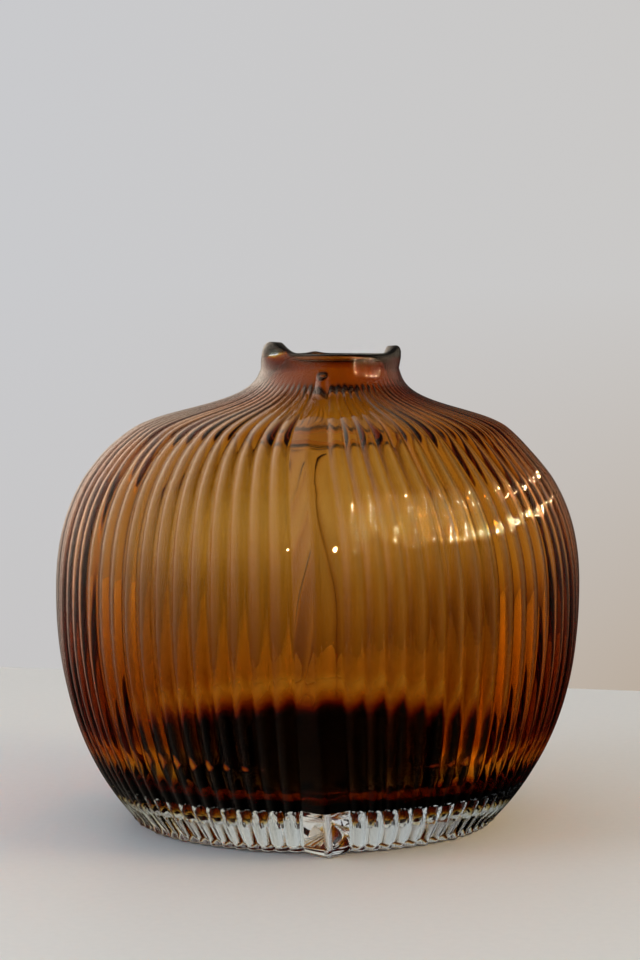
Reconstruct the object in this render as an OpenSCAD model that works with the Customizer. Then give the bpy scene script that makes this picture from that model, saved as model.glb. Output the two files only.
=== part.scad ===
// Round cased-glass vase: an amber bubble inside a ribbed colourless casing,
// a heavy colourless foot, a smooth keel down the front and a wrapped lip.
// Units are millimetres, +Z is up, and the origin is the middle of the underside.
// The front of the vase looks along -Y.

/* [Body] */
// Radius of the body at its widest line, over the ribs
body_r = 100; // [84:1:125]
// Height of the widest line above the table
widest_h = 87; // [72:1:110]
// Radius of the flat underside, over the ribs
foot_r = 69; // [50:1:78]
// Height from the widest line up to where the dome turns into the neck
dome_h = 63; // [52:1:80]
// Thickness of the colourless casing, over the ribs
clear_wall = 4.7; // [3:0.1:6]

/* [Neck] */
// Height from the dome up to the seat of the lip
neck_h = 22; // [17:1:30]
// Outer radius of the neck where the lip sits
neck_r = 26.4; // [21:0.1:34]
// Thickness of the colourless casing at the lip
neck_clear = 2; // [1.2:0.1:3.4]
// How far the neck stands to the right of the middle
neck_shift = 4.6; // [-6:0.1:6]
// How far the foot stands to the left of the middle
foot_shift = 1.3; // [-3:0.1:3]

/* [Ribs] */
// Number of ribs between the two edges of the keel
rib_count = 80; // [40:2:90]
// Depth of the grooves between the ribs
rib_depth = 2; // [0.4:0.1:2.4]

/* [Amber bubble] */
// Thickness of the amber wall at the widest line and above
amber_wall = 1.5; // [1.2:0.1:3]
// Extra thickness that the amber wall gains down to the table's height
amber_swell = 2.2; // [0:0.1:4]
// Height of the bubble's underside above the table
amber_bottom = 18; // [14:0.5:22]
// Thickness of the amber floor
amber_floor = 11; // [5:0.5:13]
// Radius of the bubble's outer bottom corner
bubble_corner = 7; // [4:0.5:9]
// Radius of the hollow's bottom corner
hollow_corner = 14; // [8:1:24]

/* [Keel] */
// Width of the keel at the widest line
keel_w = 18; // [12:0.5:24]
// Extra width that the keel gains down to the foot, as an angle on each side
keel_flare = 2.2; // [0:0.1:4]
// Height of the ridge above the grooves at the widest line
keel_h = 3.2; // [2:0.1:5]
// How far the beak stands out at the foot
beak_len = 10; // [5:0.5:14]
// Turn of the keel to the right at the foot
keel_foot_turn = 4; // [-8:0.5:8]
// Turn of the keel to the left at the neck
keel_neck_turn = 6; // [-8:0.5:8]

/* [Lip] */
// Height of the lip wrap above its seat
lip_h = 5.5; // [3:0.1:7]
// Radial thickness of the lip wrap
lip_wall = 5.2; // [4.6:0.1:7]
// Height of the left bit above the wrap
left_bit_h = 4.6; // [2:0.1:6]
// Middle of the left bit, as an angle round the mouth
left_bit_turn = 210; // [180:5:235]
// Angle that the left bit covers
left_bit_arc = 64; // [40:2:80]
// Height of the right bit above the wrap
right_bit_h = 3.2; // [1:0.1:5]
// Middle of the right bit, as an angle round the mouth
right_bit_turn = -5; // [-30:5:30]
// Angle that the right bit covers
right_bit_arc = 60; // [36:2:76]

/* [Hidden] */

// Rows of points up the wall, for the foot, the lower body, the dome and the neck
FOOT_ROWS = 4;
LOWER_ROWS = 4;
DOME_ROWS = 5;
NECK_ROWS = 5;
WALL_ROWS = LOWER_ROWS + DOME_ROWS + NECK_ROWS;
CORNER_ROWS = 4;
// Two rows of the hollow stand at least this far apart
MIN_STEP = 2;
// Columns under the keel, and round each layer: the inner layers have half as many
KEEL_COLS = 4;
COLS = 2 * rib_count + KEEL_COLS;
BUBBLE_COLS = COLS / 2;
HOLLOW_COLS = BUBBLE_COLS / 2;

// Roundness of the body below and above its widest line
LOW_POW = 2.2;
HIGH_POW = 2.35;
HIGH_ROUND = 2.5;
low_reach = widest_h / pow(1 - pow(foot_r / body_r, 2), 1 / LOW_POW);
high_reach = 1.262 * dome_h;

dome_top = widest_h + dome_h;
// Height at which the grooves begin to fade
rib_fade = dome_top + 0.2 * neck_h;
lip_seat = dome_top + neck_h;
foot_top = amber_bottom + bubble_corner;
hollow_bottom = amber_bottom + amber_floor;
hollow_wall_start = hollow_bottom + hollow_corner;

// At the lip the two layers together are as thick as the wrap
neck_amber = lip_wall - neck_clear;
// The amber begins to thicken a little above the widest line
swell_top = 1.25 * widest_h;

// Eases from 0 to 1
function blend(t) = let (u = min(max(t, 0), 1)) u * u * (3 - 2 * u);

// Outline of the body, as radius for a height
function low_radius(z) = body_r * sqrt(1 - pow((widest_h - z) / low_reach, LOW_POW));
function high_radius(z) =
    body_r * pow(1 - pow((z - widest_h) / high_reach, HIGH_POW), 1 / HIGH_ROUND);

// Curve from the top of the dome to the seat of the lip
dome_slope = high_radius(dome_top - 0.5) - high_radius(dome_top + 0.5);
dome_dir = [-dome_slope, 1] / norm([dome_slope, 1]);
neck_curve = let (start = [high_radius(dome_top), dome_top], end = [neck_r, lip_seat])
    [start, start + 0.62 * neck_h * dome_dir, end - [0, 0.64 * neck_h], end];
function curve_at(p, t) = pow(1 - t, 3) * p[0] + 3 * t * pow(1 - t, 2) * p[1]
    + 3 * t * t * (1 - t) * p[2] + pow(t, 3) * p[3];

foot_line = [for (i = [0:FOOT_ROWS]) let (z = foot_top * i / FOOT_ROWS) [low_radius(z), z]];
wall_line = concat(
    [for (i = [0:LOWER_ROWS - 1])
        let (z = foot_top + (widest_h - foot_top) * i / LOWER_ROWS) [low_radius(z), z]],
    [for (i = [0:DOME_ROWS - 1])
        let (z = widest_h + dome_h * sin(90 * i / DOME_ROWS)) [high_radius(z), z]],
    [for (i = [0:NECK_ROWS]) curve_at(neck_curve, i / NECK_ROWS)]);

// Outward direction at a row of the wall, level at the seat of the lip
function wall_dir(i) = i == WALL_ROWS ? [1, 0]
    : let (d = wall_line[i + 1] - wall_line[max(i - 1, 0)]) [d[1], -d[0]] / norm(d);
function neck_part(z) = blend((z - dome_top) / neck_h);
function clear_at(z) = clear_wall + (neck_clear - clear_wall) * neck_part(z);
function amber_at(z) = amber_wall + (neck_amber - amber_wall) * neck_part(z)
    + amber_swell * max(1 - z / swell_top, 0);

// Outer and inner lines of the amber wall
bubble_line = [for (i = [0:WALL_ROWS])
    wall_line[i] - clear_at(wall_line[i][1]) * wall_dir(i)];
hollow_all = [for (i = [0:WALL_ROWS])
    bubble_line[i] - amber_at(bubble_line[i][1]) * wall_dir(i)];

// Rounded bottoms of the bubble and of the hollow, from the flat up to the wall
function corner(edge, bottom) = [for (i = [0:CORNER_ROWS - 1]) let (a = 90 * i / CORNER_ROWS)
    [edge[0] + (edge[1] - bottom) * (sin(a) - 1), edge[1] - (edge[1] - bottom) * cos(a)]];
bubble_corner_line = corner(bubble_line[0], amber_bottom);
hollow_edge = [lookup(hollow_wall_start, [for (p = hollow_all) [p[1], p[0]]]), hollow_wall_start];
hollow_wall = [for (p = hollow_all) if (p[1] > hollow_wall_start + MIN_STEP) p];
hollow_line = concat(corner(hollow_edge, hollow_bottom), [hollow_edge], hollow_wall);

// Sideways lean of the hand-worked body
function lean(z) = neck_shift * blend((z - dome_top + neck_h / 2) / (1.5 * neck_h))
    - foot_shift * pow(max(1 - z / widest_h, 0), 2);

// Middle and half width of the keel, as angles round the axis
function keel_mid(z) = -90 + keel_foot_turn * pow(max(1 - z / widest_h, 0), 2)
    - keel_neck_turn * pow(max(z - widest_h, 0) / (lip_seat - widest_h), 2);
function keel_half(z) = asin(keel_w / 2 / body_r)
    + keel_flare * pow(max(1 - 1.5 * z / widest_h, 0), 2);

// Angle of a column: the first few lie under the keel, the rest are ribs and grooves
function col_angle(j, z) = let (half = keel_half(z), first = keel_mid(z) - half)
    j <= KEEL_COLS ? first + 2 * half * j / KEEL_COLS
    : first + 2 * half + (360 - 2 * half) * (j - KEEL_COLS) / (COLS - KEEL_COLS);
function on_rib(j) = j > KEEL_COLS && j % 2 == 1;
function groove_at(z) = rib_depth * (1 - blend((z - rib_fade) / (0.65 * neck_h)));

function place(r, a, z) = [lean(z) + r * cos(a), r * sin(a), z];
function ring(p, cols) =
    [for (j = [0:cols - 1]) place(p[0], col_angle(j * COLS / cols, p[1]), p[1])];
function ribbed_point(p, j) =
    place(p[0] - (on_rib(j) ? 0 : groove_at(p[1])), col_angle(j, p[1]), p[1]);
function ribbed_ring(p) = [for (j = [0:COLS - 1]) ribbed_point(p, j)];
function rings(line, cols) = [for (p = line) each ring(p, cols)];
function ribbed_rings(line) = [for (p = line) each ribbed_ring(p)];

// Faces of a tube of rings whose points start at `first`, seen from outside or inside
function tube(first, rows, cols, inside = false) = [
    for (i = [0:rows - 2]) for (j = [0:cols - 1])
        let (a = first + i * cols + j, b = first + i * cols + (j + 1) % cols)
            each cell(a, b, b + cols, a + cols, inside)];
function cell(a, b, c, d, inside) = inside ? [[a, b, c], [a, c, d]] : [[a, c, b], [a, d, c]];

// Faces between a ring of 2n points and a ring of n points, seen from above or below
function band(wide, narrow, n, below = false) = [for (k = [0:n - 1])
    let (w0 = wide + 2 * k, w1 = w0 + 1, w2 = wide + (2 * k + 2) % (2 * n),
         n0 = narrow + k, n1 = narrow + (k + 1) % n)
        each (below ? [[w0, w1, n0], [w1, n1, n0], [w1, w2, n1]]
                    : [[w0, n0, w1], [w1, n0, n1], [w1, n1, w2]])];
// Flat face that closes a ring, seen from above or below
function lid(first, cols, below = false) =
    [[for (j = [0:cols - 1]) first + (below ? j : cols - 1 - j)]];

// A pad lies on a patch of another piece: it shares the patch's points below, has
// raised points above, and runs out to nothing at its edges. A cut pad keeps its
// full thickness in its first row and ends there in a flat face.
function pad_index(i, j, rows, cols, cut) =
    j == 0 || j == cols - 1 || i == rows - 1 || (i == 0 && !cut)
        ? i * cols + j : (rows + i) * cols + j;
function pad_faces(rows, cols, cut) = [
    for (i = [0:rows - 2]) for (j = [0:cols - 2]) for (top = [false, true])
        let (a = pad_point(i, j, rows, cols, cut, top),
             b = pad_point(i, j + 1, rows, cols, cut, top),
             c = pad_point(i + 1, j + 1, rows, cols, cut, top),
             d = pad_point(i + 1, j, rows, cols, cut, top),
             shut = !cut && i == 0 && j == cols - 2,
             pinched = i == rows - 2 && j == 0)
            each concat(shut ? [] : [top ? [a, c, b] : [a, b, c]],
                        pinched ? [] : [top ? [a, d, c] : [a, c, d]])];
function pad_point(i, j, rows, cols, cut, top) =
    top ? pad_index(i, j, rows, cols, cut) : i * cols + j;
function pad_end(rows, cols) = [concat([for (j = [cols - 1:-1:0]) j],
    [for (j = [1:cols - 2]) rows * cols + j])];
function run(rows) = [for (row = rows) each row];

// Keel: its ridge stands highest at the beak and sinks into the neck at the top
KEEL_ROWS = FOOT_ROWS + WALL_ROWS - 1;
keel_rows = [for (i = [0:KEEL_ROWS])
    i <= FOOT_ROWS ? foot_line[i] : wall_line[i - FOOT_ROWS]];
function ridge_at(z) = keel_h + (beak_len - keel_h) * pow(max(1 - z / (0.6 * widest_h), 0), 2)
    - (keel_h - rib_depth) * blend((z - widest_h) / dome_h);
function keel_top(p, j) = let (side = 1 - abs(j - KEEL_COLS / 2) / (KEEL_COLS / 2))
    place(p[0] - groove_at(p[1]) + side * ridge_at(p[1]), col_angle(j, p[1]), p[1]);

// Lip: points of its section from the outer seat over the top to the bore
LIP_ROWS = 8;
lip_section = [for (i = [0:LIP_ROWS]) let (a = 180 * i / LIP_ROWS)
    [neck_r - lip_wall / 2 * (1 - cos(a)), lip_seat + lip_h * pow(sin(a), 0.75)]];
// The bits lie on the outer and upper side of the wrap
BIT_ROWS = 7;
// First and last columns of the wrap that a bit covers
function col_of(a) = let (half = keel_half(lip_seat), first_rib = keel_mid(lip_seat) + half)
    round((KEEL_COLS + (a - first_rib) * (COLS - KEEL_COLS) / (360 - 2 * half)) / 2);
function bit_cols(turn, arc) = [col_of(turn - arc / 2), col_of(turn + arc / 2)];
left_bit_cols = bit_cols(left_bit_turn, left_bit_arc);
right_bit_cols = bit_cols(right_bit_turn, right_bit_arc);
function bit_base(cols, i, j) = let (p = lip_section[i])
    place(p[0], col_angle((cols[0] + j) * 2, lip_seat), p[1]);
function bit_top(cols, h, i, j) =
    let (p = lip_section[i], a = 180 * i / LIP_ROWS, span = cols[1] - cols[0],
         swell = sin(180 * i / BIT_ROWS) * sin(180 * j / span) * h)
        place(p[0] + 0.6 * swell * cos(a), col_angle((cols[0] + j) * 2, lip_seat),
              p[1] + swell * sin(a));

module amber_bubble() {
    outer = concat(bubble_corner_line, bubble_line);
    inner_first = len(outer) * BUBBLE_COLS;
    outer_top = inner_first - BUBBLE_COLS;
    inner_top = inner_first + (len(hollow_line) - 1) * HOLLOW_COLS;
    color([0.60, 0.38, 0.14, 0.8])
        polyhedron(
            concat(rings(outer, BUBBLE_COLS), rings(hollow_line, HOLLOW_COLS)),
            concat(tube(0, len(outer), BUBBLE_COLS),
                   tube(inner_first, len(hollow_line), HOLLOW_COLS, inside = true),
                   band(outer_top, inner_top, HOLLOW_COLS),
                   lid(0, BUBBLE_COLS, below = true),
                   lid(inner_first, HOLLOW_COLS)));
}

module clear_casing() {
    inner_first = len(wall_line) * COLS;
    outer_top = inner_first - COLS;
    inner_top = inner_first + WALL_ROWS * BUBBLE_COLS;
    color([0.86, 0.88, 0.86, 0.35])
        polyhedron(
            concat(ribbed_rings(wall_line), rings(bubble_line, BUBBLE_COLS)),
            concat(tube(0, len(wall_line), COLS),
                   tube(inner_first, len(bubble_line), BUBBLE_COLS, inside = true),
                   band(outer_top, inner_top, BUBBLE_COLS),
                   band(0, inner_first, BUBBLE_COLS, below = true)));
}

module clear_foot() {
    dish = concat(bubble_corner_line, [bubble_line[0]]);
    dish_first = len(foot_line) * COLS;
    dish_top = dish_first + (len(dish) - 1) * BUBBLE_COLS;
    color([0.90, 0.91, 0.89, 0.5])
        polyhedron(
            concat(ribbed_rings(foot_line), rings(dish, BUBBLE_COLS)),
            concat(tube(0, len(foot_line), COLS),
                   tube(dish_first, len(dish), BUBBLE_COLS, inside = true),
                   band(dish_first - COLS, dish_top, BUBBLE_COLS),
                   lid(0, COLS, below = true),
                   lid(dish_first, BUBBLE_COLS)));
}

module front_keel() {
    rows = len(keel_rows);
    cols = KEEL_COLS + 1;
    color([0.78, 0.70, 0.62, 0.7])
        polyhedron(
            concat(run([for (p = keel_rows) [for (j = [0:KEEL_COLS]) ribbed_point(p, j)]]),
                   run([for (p = keel_rows) [for (j = [0:KEEL_COLS]) keel_top(p, j)]])),
            concat(pad_faces(rows, cols, cut = true), pad_end(rows, cols)));
}

module lip_wrap() {
    rows = LIP_ROWS + 1;
    color([0.42, 0.20, 0.10, 0.8])
        polyhedron(
            run([for (p = lip_section) [for (j = [0:BUBBLE_COLS - 1])
                place(p[0], col_angle(j * 2, lip_seat), p[1])]]),
            concat(tube(0, rows, BUBBLE_COLS),
                   [for (j = [0:BUBBLE_COLS - 1])
                       let (k = (j + 1) % BUBBLE_COLS, bore = LIP_ROWS * BUBBLE_COLS)
                           each cell(bore + j, bore + k, k, j, false)]));
}

// A rounded bit of glass on the lip, over a stretch of columns
module lip_bit(cols, h) {
    rows = BIT_ROWS + 1;
    width = cols[1] - cols[0] + 1;
    polyhedron(
        concat(run([for (i = [0:BIT_ROWS]) [for (j = [0:width - 1]) bit_base(cols, i, j)]]),
               run([for (i = [0:BIT_ROWS]) [for (j = [0:width - 1]) bit_top(cols, h, i, j)]])),
        pad_faces(rows, width, cut = false));
}
module left_lip_bit() color([0.45, 0.38, 0.34, 0.8]) lip_bit(left_bit_cols, left_bit_h);
module right_lip_bit() color([0.38, 0.20, 0.12, 0.8]) lip_bit(right_bit_cols, right_bit_h);

amber_bubble();
clear_casing();
clear_foot();
front_keel();
lip_wrap();
left_lip_bit();
right_lip_bit();
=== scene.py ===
"""Ribbed amber vase: a blown bubble of amber glass cased in clear glass, on a heavy clear foot."""

import math

import bpy
import numpy as np
from bpy.props import FloatProperty, FloatVectorProperty, IntProperty, PointerProperty
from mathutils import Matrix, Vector


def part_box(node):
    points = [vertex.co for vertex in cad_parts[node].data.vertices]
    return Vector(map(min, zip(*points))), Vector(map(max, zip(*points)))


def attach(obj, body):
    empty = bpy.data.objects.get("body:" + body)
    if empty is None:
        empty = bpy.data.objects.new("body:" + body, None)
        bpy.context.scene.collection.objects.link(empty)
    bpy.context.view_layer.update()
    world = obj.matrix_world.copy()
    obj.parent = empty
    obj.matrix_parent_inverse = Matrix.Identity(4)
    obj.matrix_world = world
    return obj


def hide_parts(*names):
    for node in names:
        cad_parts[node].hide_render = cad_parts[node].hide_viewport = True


bl_info = {
    "name": "Ribbed Amber Vase",
    "version": (1, 0, 0),
    "blender": (4, 5, 0),
    "location": "3D View > Sidebar > Vase",
    "description": "Builds a mould-blown cased glass vase around its CAD frame",
    "category": "Add Mesh",
}

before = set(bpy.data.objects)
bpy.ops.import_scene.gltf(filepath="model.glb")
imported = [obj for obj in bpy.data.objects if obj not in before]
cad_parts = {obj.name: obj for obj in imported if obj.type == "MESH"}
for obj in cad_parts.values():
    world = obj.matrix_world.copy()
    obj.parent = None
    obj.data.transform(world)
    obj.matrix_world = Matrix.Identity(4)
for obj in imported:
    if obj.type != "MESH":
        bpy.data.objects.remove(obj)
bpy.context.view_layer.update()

MM = 0.001
CASING_LOW, CASING_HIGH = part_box("clear_casing")
LIP_LOW, LIP_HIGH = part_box("lip_wrap")
BUBBLE_LOW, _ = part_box("amber_bubble")

# Sizes in millimetres that the frame gives
BODY_R = (CASING_HIGH[0] - CASING_LOW[0]) / 2 / MM
LIP_SEAT = LIP_LOW[2] / MM
LIP_H = (LIP_HIGH[2] - LIP_LOW[2]) / MM
NECK_R = (LIP_HIGH[0] - LIP_LOW[0]) / 2 / MM
NECK_SHIFT = (LIP_HIGH[0] + LIP_LOW[0]) / 2 / MM
AMBER_BOTTOM = BUBBLE_LOW[2] / MM

# Sizes that follow the design of the vase, in millimetres and degrees
WIDEST_H = 87.0
FOOT_R = 69.0
DOME_H = 63.0
NECK_H = LIP_SEAT - WIDEST_H - DOME_H
FOOT_SHIFT = 1.3
LOW_POW, HIGH_POW, HIGH_ROUND = 2.2, 2.35, 2.5
LOW_REACH = WIDEST_H / (1 - (FOOT_R / BODY_R) ** 2) ** (1 / LOW_POW)
# How far the dome's curve would run on to close at the axis, against the dome's height
DOME_REACH = 1.262
HIGH_REACH = DOME_REACH * DOME_H
DOME_TOP = WIDEST_H + DOME_H
# Handles of the neck's curve at the dome and at the lip, as shares of the neck's height
DOME_HANDLE, LIP_HANDLE = 0.62, 0.64
# Where the grooves begin to fade above the dome and over what, as shares of the neck's height
FADE_START, FADE_LENGTH = 0.2, 0.65
FRONT = -90.0
KEEL_FOOT_TURN, KEEL_NECK_TURN, KEEL_FLARE = 4.0, 6.0, 2.2
LEFT_BIT_TURN, RIGHT_BIT_TURN = 210.0, -5.0
# How wide the lip's two raised stretches are, and the angle, width and height of its one small wave
LEFT_BIT_SPREAD, RIGHT_BIT_SPREAD = 18, 17
LIP_WAVE_TURN, LIP_WAVE_SPREAD, LIP_WAVE_H = 104, 7, 0.7
# Half the angle that each bit reaches over, and half the width of a bit across the lip
LEFT_BIT_REACH, RIGHT_BIT_REACH, BIT_HALF = 26, 24, 1.7
# A raised stretch of the lip moves outwards on its outer side and inwards on its inner side
LIP_MIDDLE, SPREAD_OUT, SPREAD_IN = 2.6, 0.45, -0.25
# Above this share of its height the keel's ridge is blunt, and rises at this share of the slope
RIDGE_BLUNT, RIDGE_SLOPE = 0.92, 0.25
# How much the depth differs from rib to rib, and how much and how often it wavers along a rib
RIB_DEPTHS, RIB_WAVER, WAVER_LENGTH = (0.72, 1.08), 0.08, 17
EASE_ROUNDS = 12
FOOT_EDGE = 1.4
FOOT_GAP = 0.15
FOOT_SKIN = 0.4
LIP_SKIN = 0.4
# The crystal's inner surface lies this far above the amber's underside, under the dark floor
POLISHED_FLOOR = 1.5
# The crystal's inner corner is wider than the amber's by this
POLISHED_CORNER = 4
RIB_ROUNDNESS = 0.85
# Size and strength of the soft waves in the crystal, and size of the grain in the table's paint
WAVE_SIZE = 22
WAVE_STRENGTH = 0.05
GRAIN_SIZE = 3.3
# Dims what the crystal mirrors when it is looked at squarely
MIRROR_TINT = 0.22
# The table in metres: its size, its back edge, how far its middle lies down, and its turn in degrees
TABLE_SIZE = (3.2, 2.3, 0.03)
TABLE_EDGE, TABLE_DROP, TABLE_TURN = 0.30, 0.0153, 14
# The small warm lamps stand in an arc, at angles in degrees and a distance in metres
LAMPS = 12
LAMP_TURN, LAMP_STEP, LAMP_RISE, LAMP_ZIGZAG, LAMP_DISTANCE = 42, 5, 25, 13, 1.3
# The keel's mauve strip lies this far under the skin, is this thick, and fills this share of the keel
STRIP_SKIN, STRIP_THICK, STRIP_SHARE = 0.35, 1.0, 0.92
# Mesh columns on each half of the keel and across one rib
KEEL_STEPS = 12
RIB_STEPS = 8
# Mesh rows on the lower wall, the dome and the neck
OUTSIDE_ROWS = (44, 34, 30)
HOLLOW_ROWS = (30, 20, 14)
BUBBLE_ROWS = (26, 20, 14)
KEEL_ROWS = (40, 34, 30)
# Radii of the mesh rows on the flat underside
UNDERSIDE_ROWS = (0, 20, 45, 62)
# Mesh rows round the bead at the foot's edge
BEAD_ROWS = 4
# The coloured glass stands this far clear of the casing's inner surface
HAIRLINE = 0.05
# Colour of the cords in the amber
AMBER_CORDS = "#FBF9F5"


def smooth(t):
    """Eases from 0 to 1."""
    t = np.clip(t, 0.0, 1.0)
    return t * t * (3 - 2 * t)


def hump(distance, width):
    """A rounded rise that is 1 at no distance and fades over the width."""
    return np.exp(-((distance / width) ** 2))


def low_radius(z):
    return BODY_R * math.sqrt(max(1 - (abs(WIDEST_H - z) / LOW_REACH) ** LOW_POW, 0))


def high_radius(z):
    return BODY_R * (1 - ((z - WIDEST_H) / HIGH_REACH) ** HIGH_POW) ** (1 / HIGH_ROUND)


def neck_curve():
    """The four handles of the curve from the dome up to the seat of the lip."""
    slope = high_radius(DOME_TOP - 0.5) - high_radius(DOME_TOP + 0.5)
    way = Vector((-slope, 1)).normalized()
    start = Vector((high_radius(DOME_TOP), DOME_TOP))
    end = Vector((NECK_R, LIP_SEAT))
    return start, start + DOME_HANDLE * NECK_H * way, end - Vector((0, LIP_HANDLE * NECK_H)), end


def curve_at(p, t):
    s = 1 - t
    return s**3 * p[0] + 3 * t * s * s * p[1] + 3 * t * t * s * p[2] + t**3 * p[3]


def wall_line(low_rows, dome_rows, neck_rows, start=0.0):
    """Outline of the outside from a height up to the lip, as radius and height."""
    line = []
    for i in range(low_rows):
        z = start + (WIDEST_H - start) * i / low_rows
        line.append(Vector((low_radius(z), z)))
    for i in range(dome_rows):
        z = WIDEST_H + DOME_H * math.sin(math.pi / 2 * i / dome_rows)
        line.append(Vector((high_radius(z), z)))
    handles = neck_curve()
    for i in range(neck_rows + 1):
        line.append(curve_at(handles, i / neck_rows))
    first = low_rows + dome_rows // 2
    for _ in range(EASE_ROUNDS):
        threes = zip(line[first:], line[first + 1:], line[first + 2:])
        line[first + 1:-1] = [(a + 2 * b + c) / 4 for a, b, c in threes]
    return line


def offset_line(line, depth):
    """The line moved inwards by a depth that is given for each height."""
    moved = []
    for i, p in enumerate(line):
        way = line[min(i + 1, len(line) - 1)] - line[max(i - 1, 0)]
        out = Vector((1, 0)) if i == len(line) - 1 else Vector((way.y, -way.x)).normalized()
        moved.append(p - float(depth(p.y)) * out)
    return moved


def corner_line(edge, bottom, rows):
    """Rounded corner from a flat bottom up to the edge of a wall."""
    line = []
    for i in range(rows):
        a = math.pi / 2 * i / rows
        rise = edge.y - bottom
        line.append(Vector((edge.x + rise * (math.sin(a) - 1), edge.y - rise * math.cos(a))))
    return line


def linear(code):
    """Turns a screen colour, written as six hex digits, into linear light."""
    values = [int(code[i:i + 2], 16) / 255 for i in (1, 3, 5)]
    return tuple(v / 12.92 if v <= 0.04045 else ((v + 0.055) / 1.055) ** 2.4 for v in values)


def length(name, description, default, **limits):
    """A size in millimetres."""
    return FloatProperty(name=name, description=description, default=default, **limits)


def tint(name, description, code):
    return FloatVectorProperty(name=name, description=description, subtype="COLOR", default=linear(code))


def dimming(name, default):
    return FloatProperty(name=name, description="Dimming per metre", default=default, min=0)


class VaseSizes(bpy.types.PropertyGroup):
    """Sizes that a maker would change, in millimetres."""

    rib_count: IntProperty(name="Ribs", description="Ribs round the body", default=80, min=20, max=120)
    rib_depth: length("Rib depth", "Depth of the grooves", 2.0, min=0.2)
    clear_wall: length("Clear wall", "Thickness of the casing", 4.7)
    neck_clear: length("Clear neck", "Thickness of the casing at the lip", 2.0)
    amber_wall: length("Amber wall", "Thickness of the amber wall", 1.5)
    neck_amber: length("Amber neck", "Thickness of the amber at the lip", 3.2)
    amber_swell: length("Amber swell", "Extra amber low down", 2.2)
    amber_floor: length("Amber floor", "Thickness of the floor", 9.5)
    tongue: length("Tongues", "How far the amber hangs behind a groove", 6.0)
    ripple: length("Ripple", "How much thinner the amber is behind a rib", 0.3)
    bubble_corner: length("Bubble corner", "Outer corner of the bubble", 7.0)
    hollow_corner: length("Hollow corner", "Bottom corner of the hollow", 11.0)
    keel_w: length("Keel width", "Width of the keel at mid height", 18.0)
    keel_h: length("Keel height", "Height of the ridge at mid height", 3.2)
    beak_len: length("Beak", "How far the beak stands out", 10.0)
    left_bit_h: length("Left bit", "Height of the left lip bit", 4.6)
    right_bit_h: length("Right bit", "Height of the right lip bit", 3.2)


class VaseColours(bpy.types.PropertyGroup):
    """Colours that the glass lets through, and how strongly it dims light per metre."""

    amber: tint("Amber", "Amber gather", "#EACB00")
    amber_density: dimming("Amber density", 1240.0)
    clear: tint("Clear", "Crystal", "#E6F0E6")
    clear_density: dimming("Clear density", 2.0)
    smoke: tint("Smoke", "Left lip bit", "#949B8E")
    smoke_density: dimming("Smoke density", 900.0)
    mauve: tint("Mauve", "Strip in the keel", "#EBDCDD")
    mauve_density: dimming("Mauve density", 300.0)


def sizes():
    return bpy.context.scene.vase_sizes


def colours():
    return bpy.context.scene.vase_colours


# ---------------------------------------------------------------- shape of the glass

def lean(z):
    """Sideways lean of the hand-worked body."""
    neck = NECK_SHIFT * smooth((z - DOME_TOP + NECK_H / 2) / (1.5 * NECK_H))
    return neck - FOOT_SHIFT * np.maximum(1 - z / WIDEST_H, 0) ** 2


def keel_mid(z):
    """Angle of the middle of the keel, which wanders a little from foot to neck."""
    foot = KEEL_FOOT_TURN * np.maximum(1 - z / WIDEST_H, 0) ** 2
    neck = KEEL_NECK_TURN * (np.maximum(z - WIDEST_H, 0) / (LIP_SEAT - WIDEST_H)) ** 2
    return FRONT + foot - neck


def keel_half(z):
    """Half the angle that the keel covers."""
    body = math.degrees(math.asin(sizes().keel_w / 2 / BODY_R))
    return body + KEEL_FLARE * np.maximum(1 - 1.5 * z / WIDEST_H, 0) ** 2


def columns():
    return 2 * KEEL_STEPS + RIB_STEPS * sizes().rib_count


def column_angle(k, z):
    """Angle of a column: the first ones lie under the keel, the rest are shared by the ribs."""
    half = keel_half(z)
    k = (k + KEEL_STEPS) % columns()
    on_keel = keel_mid(z) - half + half * k / KEEL_STEPS
    part = (k - 2 * KEEL_STEPS) / (columns() - 2 * KEEL_STEPS)
    on_ribs = keel_mid(z) + half + (360 - 2 * half) * part
    return np.where(k <= 2 * KEEL_STEPS, on_keel, on_ribs)


def rib_across(k):
    """How far a column stands up a rib: 0 in a groove and on the keel's edge, 1 on a rib's top."""
    k = (k + KEEL_STEPS) % columns()
    place = np.maximum(k - 2 * KEEL_STEPS, 0) / RIB_STEPS
    return np.where(k <= 2 * KEEL_STEPS, 0.9, np.sin(np.pi * (place % 1)) ** RIB_ROUNDNESS)


def low_outline(z):
    """Radius of the lower body at many heights at once."""
    return BODY_R * np.sqrt(1 - (np.abs(WIDEST_H - z) / LOW_REACH) ** LOW_POW)


def amber_tongue(k, r, z):
    """Radius and height after amber has sunk behind each groove,
    where the mould presses it into the foot."""
    low = np.clip(1 - np.abs(z - AMBER_BOTTOM) / AMBER_BOTTOM, 0, 1)
    edge = smooth((r - 0.75 * FOOT_R) / (0.2 * FOOT_R))
    shift = -low * edge * sizes().tongue * (1 - rib_across(k)) ** 1.5
    return r * low_outline(z + shift) / low_outline(z), z + shift


def groove_depth(z):
    return sizes().rib_depth * (1 - smooth((z - DOME_TOP - FADE_START * NECK_H) / (FADE_LENGTH * NECK_H)))


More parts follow.
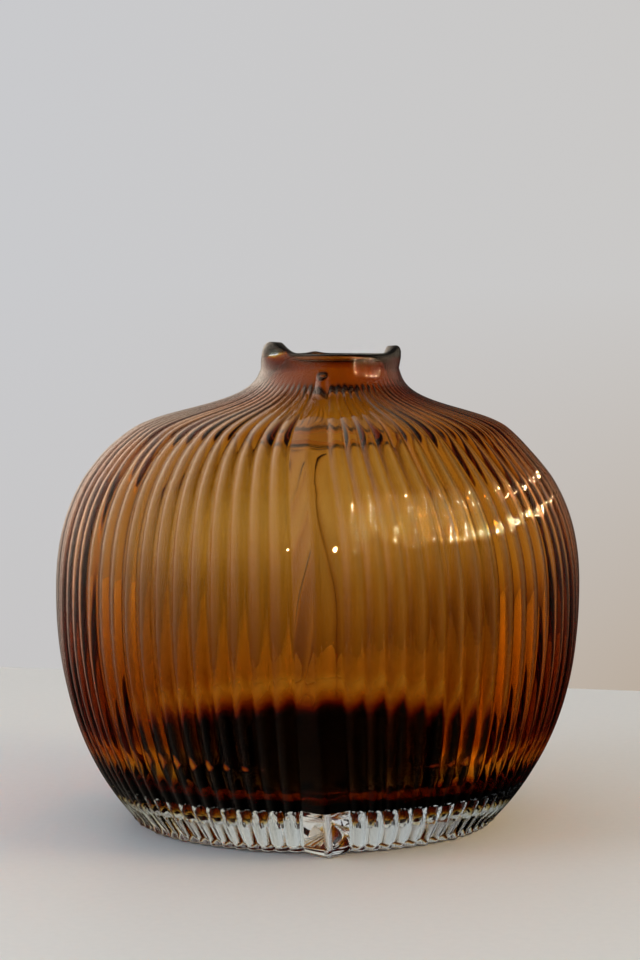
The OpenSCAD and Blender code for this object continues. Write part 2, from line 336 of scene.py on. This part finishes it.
def keel_rise(k, z):
    """Height of the keel above the bottom of the grooves."""
    s = sizes()
    side = 1 - np.abs(k - KEEL_STEPS) / KEEL_STEPS
    side = np.minimum(side, RIDGE_BLUNT + RIDGE_SLOPE * (side - RIDGE_BLUNT))
    rounded = smooth((z - WIDEST_H - 0.8 * DOME_H) / (0.4 * DOME_H))
    side = side + rounded * (side - side**2)
    rise = s.keel_h + (s.beak_len - s.keel_h) * np.maximum(1 - z / (0.6 * WIDEST_H), 0) ** 2
    rise = rise - (s.keel_h - s.rib_depth) * smooth((z - WIDEST_H) / DOME_H)
    return side * rise * smooth((LIP_SEAT - 1 - z) / 3)


def rib_rise(k, z):
    """Height of the outside above the bottom of the grooves at a column."""
    k = (k + KEEL_STEPS) % columns()
    place = np.maximum(k - 2 * KEEL_STEPS, 0) / RIB_STEPS
    rib = np.minimum(place.astype(int), sizes().rib_count - 1)
    across = np.sin(np.pi * np.clip(place - rib, 0, 1)) ** RIB_ROUNDNESS
    rng = np.random.default_rng(11)
    deep = rng.uniform(*RIB_DEPTHS, sizes().rib_count)[rib]
    phase = rng.uniform(0, 2 * math.pi, sizes().rib_count)[rib]
    hand = deep + RIB_WAVER * np.sin(z / WAVER_LENGTH + phase)
    return np.where(k <= 2 * KEEL_STEPS, keel_rise(k, z), groove_depth(z) * across * hand)


def turn_from(a, b):
    """Angle between two directions, from -180 to 180."""
    return (a - b + 180) % 360 - 180


def lip_rise(a):
    """Height of the bits and waves on the lip at an angle."""
    left = sizes().left_bit_h * hump(turn_from(a, LEFT_BIT_TURN), LEFT_BIT_SPREAD)
    right = sizes().right_bit_h * hump(turn_from(a, RIGHT_BIT_TURN), RIGHT_BIT_SPREAD)
    return left + right + LIP_WAVE_H * hump(turn_from(a, LIP_WAVE_TURN), LIP_WAVE_SPREAD)


def outside_line():
    """Outline of the polished outside, from the middle of the underside to the lip's seat."""
    flat = [Vector((r, 0)) for r in UNDERSIDE_ROWS]
    wall = wall_line(*OUTSIDE_ROWS, start=FOOT_EDGE)
    rim = wall[0]
    bead = []
    for i in range(BEAD_ROWS):
        t = math.pi / 2 * i / BEAD_ROWS
        r = rim.x - FOOT_EDGE + FOOT_EDGE * math.sin(t)
        bead.append(Vector((r, FOOT_EDGE - FOOT_EDGE * math.cos(t))))
    return flat + bead + wall


def clear_at(z):
    s = sizes()
    return s.clear_wall + (s.neck_clear - s.clear_wall) * smooth((z - DOME_TOP) / NECK_H)


def amber_at(z):
    s = sizes()
    neck = (s.neck_amber - s.amber_wall) * smooth((z - DOME_TOP) / NECK_H)
    return s.amber_wall + neck + s.amber_swell * max(1 - z / (1.25 * WIDEST_H), 0)


def bubble_line(low_rows, dome_rows, neck_rows):
    start = AMBER_BOTTOM + sizes().bubble_corner
    return offset_line(wall_line(low_rows, dome_rows, neck_rows, start), clear_at)


def hollow_line(floor, corner):
    """Outline of the hollow from its floor to the lip."""
    wall = offset_line(bubble_line(*HOLLOW_ROWS), amber_at)
    wall = [p for p in wall if p.y > floor + corner]
    return corner_line(wall[0], floor, 10) + wall


def lip_line(rows, inset=0.0):
    """Section of the lip from its outer seat over the top to the bore."""
    wall = sizes().neck_clear + sizes().neck_amber - 2 * inset
    line = []
    for i in range(1, rows):
        a = math.pi * i / rows
        r = NECK_R - inset - wall / 2 * (1 - math.cos(a))
        line.append(Vector((r, LIP_SEAT + (LIP_H - inset) * math.sin(a) ** 0.75)))
    return line


# ---------------------------------------------------------------- making meshes

def start_fresh():
    if bpy.context.mode != "OBJECT":
        bpy.ops.object.mode_set(mode="OBJECT")
    bpy.ops.object.select_all(action="DESELECT")


def face_outwards():
    """Turns every face of the active mesh outwards."""
    bpy.ops.object.mode_set(mode="EDIT")
    bpy.ops.mesh.select_all(action="SELECT")
    bpy.ops.mesh.normals_make_consistent(inside=False)
    bpy.ops.mesh.select_all(action="DESELECT")
    bpy.ops.object.mode_set(mode="OBJECT")


def points_of(piece):
    """The coordinates of every point of a mesh, as three rows."""
    co = np.empty(len(piece.data.vertices) * 3)
    piece.data.vertices.foreach_get("co", co)
    return co.reshape(-1, 3).T


def place_points(piece, a, r, z):
    """Puts every point at its angle, radius and height round the leaning middle of the vase."""
    a = np.radians(a)
    co = np.stack([lean(z) + r * np.cos(a), r * np.sin(a), z], axis=1) * MM
    piece.data.vertices.foreach_set("co", co.ravel())
    piece.data.update()


def spin_outline(name, line, steps):
    """Draws an outline point by point at the front of the vase and spins it into a closed shell."""
    start_fresh()
    points = [Vector((0, -p.x, p.y)) * MM for p in line]
    bpy.ops.mesh.primitive_plane_add(size=MM, location=points[0])
    piece = bpy.context.object
    piece.name = piece.data.name = name
    bpy.ops.object.transform_apply(location=True, rotation=True, scale=True)
    bpy.ops.object.mode_set(mode="EDIT")
    bpy.ops.mesh.select_all(action="SELECT")
    bpy.ops.mesh.merge(type="CENTER")
    for here, there in zip(points, points[1:]):
        bpy.ops.mesh.extrude_region_move(TRANSFORM_OT_translate={"value": there - here})
    bpy.ops.object.mode_set(mode="OBJECT")
    bpy.ops.object.modifier_add(type="SCREW")
    turn = piece.modifiers[-1]
    turn.steps = turn.render_steps = steps
    turn.use_merge_vertices = True
    turn.merge_threshold = 1e-7
    bpy.ops.object.modifier_apply(modifier=turn.name)
    bpy.ops.object.mode_set(mode="EDIT")
    bpy.ops.mesh.select_all(action="SELECT")
    bpy.ops.mesh.remove_doubles(threshold=1e-7)
    bpy.ops.object.mode_set(mode="OBJECT")
    face_outwards()
    bpy.ops.object.shade_smooth()
    return piece


def shape_points(piece, steps, move):
    """Moves every point: `move` gets its column, radius and height and returns angle, radius and height."""
    x, y, z = points_of(piece) / MM
    r = np.hypot(x, y)
    k = (np.degrees(np.arctan2(y, x)) - FRONT) % 360 * steps / 360
    k = np.round(k) % steps
    place_points(piece, *move(k, r, z))


def finish_piece(piece, material, slot, *nodes):
    piece.data.materials.clear()
    piece.data.materials.append(material)
    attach(piece, "root")
    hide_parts(*nodes)
    return piece


# ---------------------------------------------------------------- materials

def add(tree, kind, settings=None, links=None):
    """Adds a node, sets its inputs or attributes, and links its inputs."""
    node = tree.nodes.new(kind)
    for key, value in (settings or {}).items():
        if hasattr(node, str(key)):
            setattr(node, key, value)
        else:
            node.inputs[key].default_value = value
    for key, socket in (links or {}).items():
        tree.links.new(socket, node.inputs[key])
    return node


def new_material(name):
    material = bpy.data.materials.new(name)
    material.use_nodes = True
    material.node_tree.nodes.clear()
    return material, material.node_tree


def blend(tree, factor, low, high):
    """A colour that goes from the low one to the high one; each is a socket or three values."""
    tone = add(tree, "ShaderNodeMix", {"data_type": "RGBA"}, {"Factor": factor})
    for slot, colour in ((6, low), (7, high)):
        if isinstance(colour, tuple):
            tone.inputs[slot].default_value = (*colour, 1)
        else:
            tree.links.new(colour, tone.inputs[slot])
    return tone.outputs[2]


def ramp(tree, value, start, stop, low=0.0, high=1.0, kind="LINEAR"):
    """Goes from low to high while a value goes from start to stop."""
    node = add(tree, "ShaderNodeMapRange", {"interpolation_type": kind, 1: start, 2: stop, 3: low, 4: high},
               {0: value})
    return node.outputs[0]


def striae(tree, across, along, light, dark):
    """Faint cords of slightly darker glass that hang down the wall, as a colour.
    Their width and length are in millimetres."""
    where = add(tree, "ShaderNodeTexCoord")
    scale = (1 / (across * MM), 1 / (across * MM), 1 / (along * MM))
    stretch = add(tree, "ShaderNodeMapping", {"Scale": scale}, {"Vector": where.outputs["Object"]})
    cords = add(tree, "ShaderNodeTexNoise", {"Scale": 1.0, "Detail": 3.0, "Roughness": 0.6},
                {"Vector": stretch.outputs["Vector"]})
    return blend(tree, cords.outputs["Fac"], linear(light), linear(dark))


def glass(tree, shader, colour, density):
    """Joins a glass surface to the colour that its body takes out of the light."""
    body = add(tree, "ShaderNodeVolumeAbsorption", {"Color": (*colour, 1), "Density": density})
    add(tree, "ShaderNodeOutputMaterial", {}, {"Surface": shader.outputs[0], "Volume": body.outputs[0]})


def clear_glass():
    """Colourless soda-lime crystal, blown into a mould and fire polished.
    Its soft waves let the straight lines seen through it waver, and its ribs bend the light."""
    material, tree = new_material("colourless_crystal")
    where = add(tree, "ShaderNodeTexCoord")
    wave = add(tree, "ShaderNodeTexNoise", {"Scale": 1 / (WAVE_SIZE * MM), "Detail": 2.0},
               {"Vector": where.outputs["Object"]})
    bump = add(tree, "ShaderNodeBump", {"Strength": WAVE_STRENGTH, "Distance": 1 * MM},
               {"Height": wave.outputs["Fac"]})
    shader = add(tree, "ShaderNodeBsdfPrincipled",
                 {"Roughness": 0.0, "IOR": 1.52, "Transmission Weight": 1.0,
                  "Specular Tint": (MIRROR_TINT, MIRROR_TINT, MIRROR_TINT, 1)},
                 {"Normal": bump.outputs["Normal"], "Base Color": striae(tree, 9, 60, "#FFFFFF", "#FDFDFC")})
    glass(tree, shader, colours().clear, colours().clear_density)
    return material


def heavy_glass():
    """Heavier crystal of the foot: light that runs along under the amber is turned back by it,
    which draws a row of bright petals over the dark floor of the bubble."""
    material, tree = new_material("heavy_crystal")
    shader = add(tree, "ShaderNodeBsdfPrincipled",
                 {"Roughness": 0.0, "IOR": 1.03, "Transmission Weight": 1.0},
                 {"Base Color": striae(tree, 12, 12, "#FFFFFF", "#FAFBF8")})
    glass(tree, shader, colours().clear, colours().clear_density)
    return material


def fused_glass(name, colour, density, dark):
    """Coloured glass fused inside the crystal, so its own surface neither bends nor mirrors light.
    It deepens where it is thick and shows faint hanging cords."""
    material, tree = new_material(name)
    shader = add(tree, "ShaderNodeBsdfPrincipled",
                 {"Roughness": 0.0, "IOR": 1.0, "Transmission Weight": 1.0},
                 {"Base Color": striae(tree, 5, 45, "#FFFFFF", dark)})
    glass(tree, shader, colour, density)
    return material


def pale_table():
    """Satin painted table top, with a fine grain in its pale grey."""
    material, tree = new_material("pale_table")
    where = add(tree, "ShaderNodeTexCoord")
    grain = add(tree, "ShaderNodeTexNoise", {"Scale": 1 / (GRAIN_SIZE * MM)},
                {"Vector": where.outputs["Object"]})
    paint = blend(tree, grain.outputs["Fac"], linear("#D8DDDF"), linear("#DEE2E3"))
    shader = add(tree, "ShaderNodeBsdfPrincipled", {"Roughness": 0.55, "Specular IOR Level": 0.2},
                 {"Base Color": paint})
    add(tree, "ShaderNodeOutputMaterial", {}, {"Surface": shader.outputs[0]})
    return material


def soft_room():
    """Pale room. Seen directly, the wall is light and turns browner low down on the right, a painted shade.
    Seen through the glass, the wall is painted a little brighter and its low part dimmer, as painted light
    and shade. What the glass mirrors is a window on the left, a lit doorway on the right and a dim room
    between."""
    world = bpy.data.worlds.new("soft_room")
    world.use_nodes = True
    tree = world.node_tree
    tree.nodes.clear()
    where = add(tree, "ShaderNodeTexCoord")
    parts = add(tree, "ShaderNodeSeparateXYZ", {}, {0: where.outputs["Generated"]})
    x, z = parts.outputs["X"], parts.outputs["Z"]
    ray = add(tree, "ShaderNodeLightPath")

    paint = blend(tree, ramp(tree, x, -0.45, 0.45), linear("#C8CBD2"), linear("#CBC7C1"))
    # Painted shade: seen directly, the wall darkens to brown low down on the right
    below, to_the_right = ramp(tree, z, 0.02, -0.16), ramp(tree, x, -0.10, 0.22, 0.15, 1.0)
    share = add(tree, "ShaderNodeMath", {"operation": "MULTIPLY"}, {0: below, 1: to_the_right})
    shade = blend(tree, share.outputs[0], paint, linear("#B5A38F"))
    # Painted light and shade: seen through the glass the wall is a little brighter, and dimmer low down
    rise = ramp(tree, z, -0.165, -0.075, 0.62, 1.15)
    through_glass = add(tree, "ShaderNodeMix", {"data_type": "FLOAT", 2: 1.0},
                        {0: ray.outputs["Is Transmission Ray"], 3: rise})
    wall = add(tree, "ShaderNodeBackground", {}, {"Color": shade, "Strength": through_glass.outputs[0]})

    window = ramp(tree, x, 0.12, -0.75, kind="SMOOTHSTEP")
    door = ramp(tree, x, 0.45, 0.9, kind="SMOOTHSTEP")
    height = ramp(tree, z, -0.4, 0.42, 0.04, 1.0, kind="SMOOTHSTEP")
    dim = blend(tree, door, (0.12, 0.105, 0.09), (1.0, 0.82, 0.6))
    mirrored = blend(tree, window, dim, (3.6, 3.05, 2.5))
    room = add(tree, "ShaderNodeBackground", {}, {"Color": mirrored, "Strength": height})
    mirrored_ray = add(tree, "ShaderNodeMath", {"operation": "SUBTRACT", "use_clamp": True},
                       {0: ray.outputs["Is Glossy Ray"], 1: ray.outputs["Is Transmission Ray"]})
    both = add(tree, "ShaderNodeMixShader", {},
               {0: mirrored_ray.outputs[0], 1: wall.outputs[0], 2: room.outputs[0]})
    add(tree, "ShaderNodeOutputWorld", {}, {"Surface": both.outputs[0]})
    return world


# ---------------------------------------------------------------- operators

class VASE_OT_casing(bpy.types.Operator):
    """Blows the clear casing, with its ribs, keel, foot and polished lip"""

    bl_idname = "vase.casing"
    bl_label = "Clear Casing"

    def execute(self, context):
        count = columns()
        hollow = hollow_line(AMBER_BOTTOM + POLISHED_FLOOR, sizes().hollow_corner + POLISHED_CORNER)
        line = outside_line() + lip_line(10) + list(reversed(hollow)) + [Vector((0, hollow[0].y))]
        piece = spin_outline("clear_casing_glass", line, count)
        middle = offset_line(outside_line()[8:], lambda z: 0.8 * clear_at(z))
        floor = hollow[0].y

        def move(k, r, z):
            a = column_angle(k, z)
            wall = np.interp(z, [p.y for p in middle], [p.x for p in middle])
            outside = (z < floor - 1) | (r > wall)
            ribs = rib_rise(k, z) - groove_depth(z)
            ribs = np.where(z < 0.01, ribs * (r / FOOT_R) ** 4, ribs)
            high = np.clip((z - LIP_SEAT) / LIP_H, 0, 1)
            rise = lip_rise(a) * np.sin(high * math.pi / 2)
            spread = np.where(r > NECK_R - LIP_MIDDLE, SPREAD_OUT, SPREAD_IN) * rise
            r = r + np.where(z > LIP_SEAT, spread, np.where(outside, ribs, 0))
            return a, r, z + rise

        shape_points(piece, count, move)
        finish_piece(piece, clear_glass(), "clear_glass", "clear_casing")
        return {"FINISHED"}


class VASE_OT_bubble(bpy.types.Operator):
    """Blows the amber bubble that lies inside the casing's wall"""

    bl_idname = "vase.bubble"
    bl_label = "Amber Bubble"

    def execute(self, context):
        steps = columns()
        bubble = bubble_line(*BUBBLE_ROWS)
        flat = [Vector((r, AMBER_BOTTOM)) for r in (0, 0.5 * FOOT_R, 0.75 * FOOT_R, 0.85 * FOOT_R)]
        outer = flat + corner_line(bubble[0], AMBER_BOTTOM, 8) + bubble
        hollow = hollow_line(AMBER_BOTTOM + sizes().amber_floor, sizes().hollow_corner)
        inner = [p + Vector((HAIRLINE, -HAIRLINE)) for p in reversed(hollow)]
        line = outer + inner + [Vector((0, hollow[0].y - HAIRLINE))]
        piece = spin_outline("amber_bubble_glass", line, steps)
        floor = hollow[0].y
        middle_line = offset_line(bubble, lambda z: 0.5 * amber_at(z))
        middle = [[p.y for p in middle_line], [p.x for p in middle_line]]

        def move(k, r, z):
            outside = (z > floor) & (r > np.interp(z, *middle))
            ripple = sizes().ripple * rib_across(k) * groove_depth(z) / sizes().rib_depth
            ripple = np.where(outside, ripple, 0)
            low_r, low_z = amber_tongue(k, r, z)
            low = z < floor - 1
            return column_angle(k, z), np.where(low, low_r, r - ripple), np.where(low, low_z, z)

        shape_points(piece, steps, move)
        amber = fused_glass("amber_gather", colours().amber, colours().amber_density, AMBER_CORDS)
        finish_piece(piece, amber, "amber_glass", "amber_bubble")
        return {"FINISHED"}


class VASE_OT_foot(bpy.types.Operator):
    """Gathers the heavy crystal foot under the bubble"""

    bl_idname = "vase.foot"
    bl_label = "Clear Foot"

    def execute(self, context):
        top = AMBER_BOTTOM - FOOT_GAP
        inset = sizes().rib_depth + FOOT_SKIN
        side = [Vector((low_radius(z) - inset, z)) for z in np.linspace(2.5, top, 10)]
        roof = [Vector((r, top)) for r in np.linspace(side[-1].x, 0.75 * FOOT_R, 8)[1:]]
        line = [Vector((0, FOOT_GAP)), Vector((side[0].x - 2.0, FOOT_GAP))] + side + roof
        line += [Vector((0.4 * FOOT_R, top)), Vector((0, top))]
        piece = spin_outline("clear_foot_glass", line, columns())
        shape_points(piece, columns(), lambda k, r, z: (column_angle(k, z), *amber_tongue(k, r, z)))
        finish_piece(piece, heavy_glass(), "clear_glass", "clear_foot")
        return {"FINISHED"}


class VASE_OT_keel(bpy.types.Operator):
    """Lays the strip of glass that forms the keel down the front"""

    bl_idname = "vase.keel"
    bl_label = "Front Keel"

    def execute(self, context):
        start_fresh()
        rows, cols = 90, 2 * KEEL_STEPS
        bpy.ops.mesh.primitive_grid_add(x_subdivisions=cols, y_subdivisions=rows, size=2)
        piece = context.object
        piece.name = piece.data.name = "front_keel_glass"
        line = wall_line(*KEEL_ROWS, start=FOOT_EDGE + 1)
        line = [p for p in line if p.y < LIP_SEAT - 6]
        along = np.linspace(0, 1, len(line))
        x, y, _ = points_of(piece)
        k = STRIP_SHARE * x * KEEL_STEPS
        height = np.interp((y + 1) / 2, along, [p.y for p in line])
        radius = np.interp((y + 1) / 2, along, [p.x for p in line])
        r = radius + keel_rise(k + KEEL_STEPS, height) - groove_depth(height) - STRIP_SKIN
        place_points(piece, column_angle(k, height), r, height)
        bpy.ops.object.modifier_add(type="SOLIDIFY")
        piece.modifiers[-1].thickness = STRIP_THICK * MM
        piece.modifiers[-1].offset = -1
        bpy.ops.object.modifier_apply(modifier=piece.modifiers[-1].name)
        face_outwards()
        bpy.ops.object.shade_smooth_by_angle(angle=math.radians(40))
        mauve = fused_glass("mauve_strip", colours().mauve, colours().mauve_density, "#FAF7F8")
        finish_piece(piece, mauve, "clear_glass", "front_keel")
        return {"FINISHED"}


class VASE_OT_lip(bpy.types.Operator):
    """Wraps the amber lip and lays the two bits of glass on it"""

    bl_idname = "vase.lip"
    bl_label = "Lip"

    def execute(self, context):
        s = sizes()
        core = lip_line(14, LIP_SKIN)
        seat = [Vector((p.x, LIP_SEAT + LIP_SKIN / 4)) for p in (core[-1], core[0])]
        line = core + seat + core[:1]
        piece = spin_outline("lip_wrap_glass", line, columns() // 4)
        shape_points(piece, columns() // 4, lambda k, r, z: (column_angle(4 * k, z), r, z))
        amber = fused_glass("amber_lip", colours().amber, colours().amber_density, AMBER_CORDS)
        finish_piece(piece, amber, "lip_glass", "lip_wrap")
        smoke = fused_glass("smoky_bit", colours().smoke, colours().smoke_density, "#D8DCD4")
        lip_bit("left", LEFT_BIT_TURN, LEFT_BIT_REACH, smoke)
        lip_bit("right", RIGHT_BIT_TURN, RIGHT_BIT_REACH, amber)
        return {"FINISHED"}


def lip_bit(side, turn, reach, material):
    """A lens of glass in the raised stretch of the lip."""
    start_fresh()
    bpy.ops.mesh.primitive_uv_sphere_add(segments=48, ring_count=24, radius=1)
    piece = bpy.context.object
    piece.name = piece.data.name = f"{side}_lip_bit_glass"
    u, v, w = points_of(piece)
    a = turn + u * reach
    room = lip_rise(a)
    r = NECK_R - (sizes().neck_clear + sizes().neck_amber) / 2 - v * BIT_HALF
    z = LIP_SEAT + LIP_H - LIP_SKIN / 2 + (w + 1) / 2 * room
    place_points(piece, a, r, z)
    face_outwards()
    bpy.ops.object.shade_smooth()
    finish_piece(piece, material, "lip_glass", f"{side}_lip_bit")


class VASE_OT_stage(bpy.types.Operator):
    """Lays the pale floor, sets the lights and stands the camera"""

    bl_idname = "vase.stage"
    bl_label = "Stage"

    def execute(self, context):
        start_fresh()
        bpy.ops.mesh.primitive_cube_add(size=1, location=(0, 0, 0))
        floor = context.object
        floor.name = "floor"
        bpy.ops.object.mode_set(mode="EDIT")
        bpy.ops.mesh.select_all(action="SELECT")
        bpy.ops.transform.resize(value=TABLE_SIZE)
        bpy.ops.transform.translate(value=(0, TABLE_EDGE - TABLE_SIZE[1] / 2, -TABLE_DROP))
        bpy.ops.transform.rotate(value=math.radians(TABLE_TURN), orient_axis="Z",
                                 center_override=(0.2, TABLE_EDGE, 0))
        bpy.ops.object.mode_set(mode="OBJECT")
        bpy.ops.object.modifier_add(type="BEVEL")
        floor.modifiers[-1].width = 0.004
        floor.modifiers[-1].segments = 3
        bpy.ops.object.modifier_apply(modifier=floor.modifiers[-1].name)
        bpy.ops.object.shade_smooth_by_angle(angle=math.radians(30))
        floor.data.materials.append(pale_table())
        floor.visible_glossy = False
        context.scene.world = soft_room()
        add_area("window", (-1.5, -0.7, 0.8), (0, 0, 0.08), (1.0, 1.5), 12, "#E6F2FF").visible_glossy = False
        add_area("warm_fill", (1.3, -0.5, 0.9), (0, 0, 0), (0.6, 0.6), 8, "#FFD9A8").visible_glossy = False
        for i in range(LAMPS):
            turn, rise = LAMP_TURN + LAMP_STEP * i, LAMP_RISE + LAMP_ZIGZAG * (i % 2) + i % 3
            a, e = math.radians(turn), math.radians(rise)
            way = Vector((math.sin(a) * math.cos(e), -math.cos(a) * math.cos(e), math.sin(e)))
            place = LAMP_DISTANCE * way
            lamp = add_area(f"lamp_{i}", place, (0, 0, 0.1), (0.04, 0.04), 9, "#FFD694")
            lamp.visible_diffuse = lamp.visible_camera = False
        camera_data = bpy.data.cameras.new("camera")
        camera = bpy.data.objects.new("camera", camera_data)
        context.collection.objects.link(camera)
        camera_data.sensor_fit = "VERTICAL"
        camera_data.sensor_height = 24
        camera_data.lens = 57.5
        camera.location = (0.0008, -0.880, 0.186)
        camera.rotation_euler = (math.radians(90 - 3.7), 0, 0)
        context.scene.camera = camera
        context.scene.view_settings.view_transform = "Standard"
        context.scene.cycles.max_bounces = 24
        context.scene.cycles.transmission_bounces = 24
        context.scene.cycles.transparent_max_bounces = 24
        return {"FINISHED"}


def add_area(name, place, target, size, power, colour):
    data = bpy.data.lights.new(name, "AREA")
    data.shape = "RECTANGLE"
    data.size, data.size_y = size
    data.energy = power
    data.color = linear(colour)
    light = bpy.data.objects.new(name, data)
    light.location = place
    light.rotation_euler = (Vector(target) - Vector(place)).to_track_quat("-Z", "Y").to_euler()
    bpy.context.collection.objects.link(light)
    return light


class VASE_PT_panel(bpy.types.Panel):
    """Lists the pieces of the vase"""

    bl_label = "Ribbed Amber Vase"
    bl_idname = "VASE_PT_panel"
    bl_space_type = "VIEW_3D"
    bl_region_type = "UI"
    bl_category = "Vase"

    def draw(self, context):
        for operator in OPERATORS:
            self.layout.operator(operator.bl_idname)


OPERATORS = (VASE_OT_casing, VASE_OT_bubble, VASE_OT_foot, VASE_OT_keel, VASE_OT_lip, VASE_OT_stage)
CLASSES = (VaseSizes, VaseColours) + OPERATORS + (VASE_PT_panel,)


def register():
    for cls in CLASSES:
        bpy.utils.register_class(cls)
    bpy.types.Scene.vase_sizes = PointerProperty(type=VaseSizes)
    bpy.types.Scene.vase_colours = PointerProperty(type=VaseColours)


def unregister():
    del bpy.types.Scene.vase_colours
    del bpy.types.Scene.vase_sizes
    for cls in reversed(CLASSES):
        bpy.utils.unregister_class(cls)


def main():
    register()
    bpy.ops.vase.casing()
    bpy.ops.vase.bubble()
    bpy.ops.vase.foot()
    bpy.ops.vase.keel()
    bpy.ops.vase.lip()
    bpy.ops.vase.stage()


if __name__ == "__main__":
    main()
